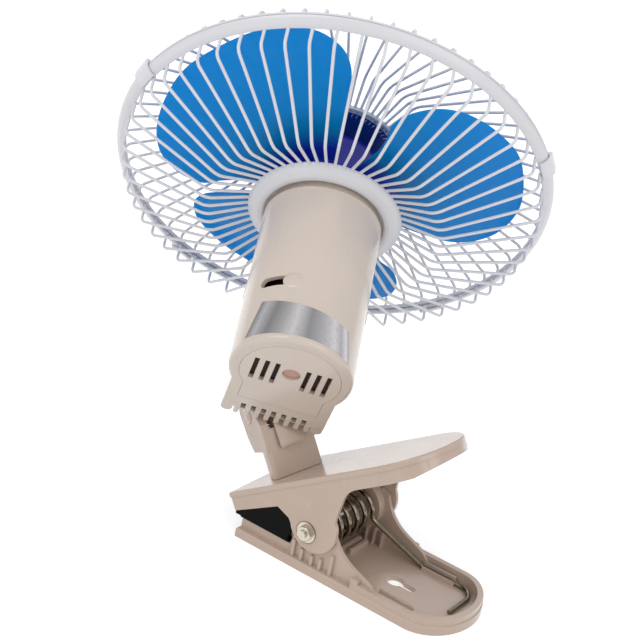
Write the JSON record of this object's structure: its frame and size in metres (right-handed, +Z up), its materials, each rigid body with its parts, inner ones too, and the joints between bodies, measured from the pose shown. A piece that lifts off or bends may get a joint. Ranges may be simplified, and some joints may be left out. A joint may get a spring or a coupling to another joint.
{
  "type": "clip fan",
  "caption": "Small clip-on desk fan with a round wire-style guard, blue blades, oscillating head and a spring clip.",
  "frame": {"origin": "a point of the lower jaw's flat underside, below the middle of the pads", "axes": "+X from the jaw tips to the handles, +Z up from the level lower jaw, +Y along the clip's hinge"},
  "size_m": [0.2579, 0.187, 0.2517],
  "materials": {
    "guard_plastic": "satin",
    "shell_plastic": "satin",
    "clip_plastic": "satin",
    "black_rubber": "matte",
    "spring_steel": "oiled",
    "zinc_steel": "plated",
    "silver_foil": "satin",
    "blue_blade": "translucent",
    "core_steel": "laminated",
    "copper_wire": "enamelled",
    "bush_bronze": "sintered",
    "gear_nylon": "natural"
  },
  "bodies": {
    "upper_jaw": {"upper_jaw": "clip_plastic", "upper_pad": "black_rubber", "hinge_bolt": "zinc_steel", "hinge_washer": "zinc_steel", "hinge_nut": "zinc_steel"},
    "lower_jaw": {"lower_jaw": "clip_plastic", "lower_pad": "black_rubber", "torsion_spring": "spring_steel"},
    "neck": {"neck_arm": "clip_plastic", "swivel_washer": "zinc_steel", "swivel_screw": "zinc_steel", "tilt_bolt": "zinc_steel", "tilt_nut": "zinc_steel"},
    "knuckle": {"tilt_knuckle": "clip_plastic", "pivot_washer": "zinc_steel", "pivot_screw": "zinc_steel"},
    "head": {"front_housing": "shell_plastic", "rear_housing": "shell_plastic", "rear_cover": "shell_plastic", "label_foil": "silver_foil", "pivot_bush": "bush_bronze", "motor_stator": "core_steel", "motor_winding": "copper_wire", "front_bracket": "zinc_steel", "rear_bracket": "zinc_steel", "front_bush": "bush_bronze", "rear_bush": "bush_bronze", "gearbox_plate": "zinc_steel", "rear_guard": "guard_plastic", "front_guard": "guard_plastic", "guard_badge": "guard_plastic", "guard_clasps": "guard_plastic", "guard_screws": "zinc_steel"},
    "knob": {"oscillation_knob": "shell_plastic"},
    "rotor": {"motor_rotor": "core_steel", "motor_shaft": "zinc_steel", "worm": "gear_nylon", "fan_blade": "blue_blade", "blade_nut": "blue_blade"},
    "wheel": {"worm_wheel": "gear_nylon"},
    "link": {"crank_link": "gear_nylon"}
  },
  "joints": [
    {"name": "clip_open", "type": "hinge", "parent": "upper_jaw", "child": "lower_jaw", "pos_m": [0.027, 0, 0.0207], "axis": [0, -1, 0], "range_deg": [0, 24], "stiffness_Nm_per_rad": 0.5, "springref_deg": -57.3, "deforming": ["torsion_spring"]},
    {"name": "neck_swivel", "type": "hinge", "parent": "upper_jaw", "child": "neck", "pos_m": [-0.0046, 0, 0.0299], "axis": [-0.5476, 0, 0.8368], "range_deg": [-65, 115]},
    {"name": "head_tilt", "type": "hinge", "parent": "neck", "child": "knuckle", "pos_m": [-0.02218, -0.00021, 0.0576], "axis": [0.351, 0.9078, 0.2297], "range_deg": [-60, 4]},
    {"name": "oscillation", "type": "hinge", "parent": "knuckle", "child": "head", "pos_m": [-0.0183, -0.00385, 0.06606], "axis": [0.3879, -0.3642, 0.8467], "range_deg": [-6, 84]},
    {"name": "knob_slide", "type": "hinge", "parent": "head", "child": "knob", "pos_m": [-0.01153, -0.00379, 0.11078], "axis": [0.4421, -0.7325, -0.5177], "range_deg": [0, 22]},
    {"name": "blade_spin", "type": "hinge", "parent": "head", "child": "rotor", "pos_m": [-0.05066, 0.06103, 0.15659], "axis": [0.4421, -0.7325, -0.5177], "continuous": true},
    {"name": "wheel_spin", "type": "hinge", "parent": "head", "child": "wheel", "pos_m": [-0.00402, 0.00521, 0.11121], "axis": [0.3879, -0.3642, 0.8467], "continuous": true},
    {"name": "link_turn", "type": "hinge", "parent": "wheel", "child": "link", "pos_m": [-0.00774, 0.00775, 0.09865], "axis": [0.3879, -0.3642, 0.8467], "continuous": true}
  ],
  "couplings": [
    {"joint": "wheel_spin", "follows": "blade_spin", "ratio": 0.05},
    {"joint": "link_turn", "follows": "blade_spin", "ratio": -0.05}
  ]
}
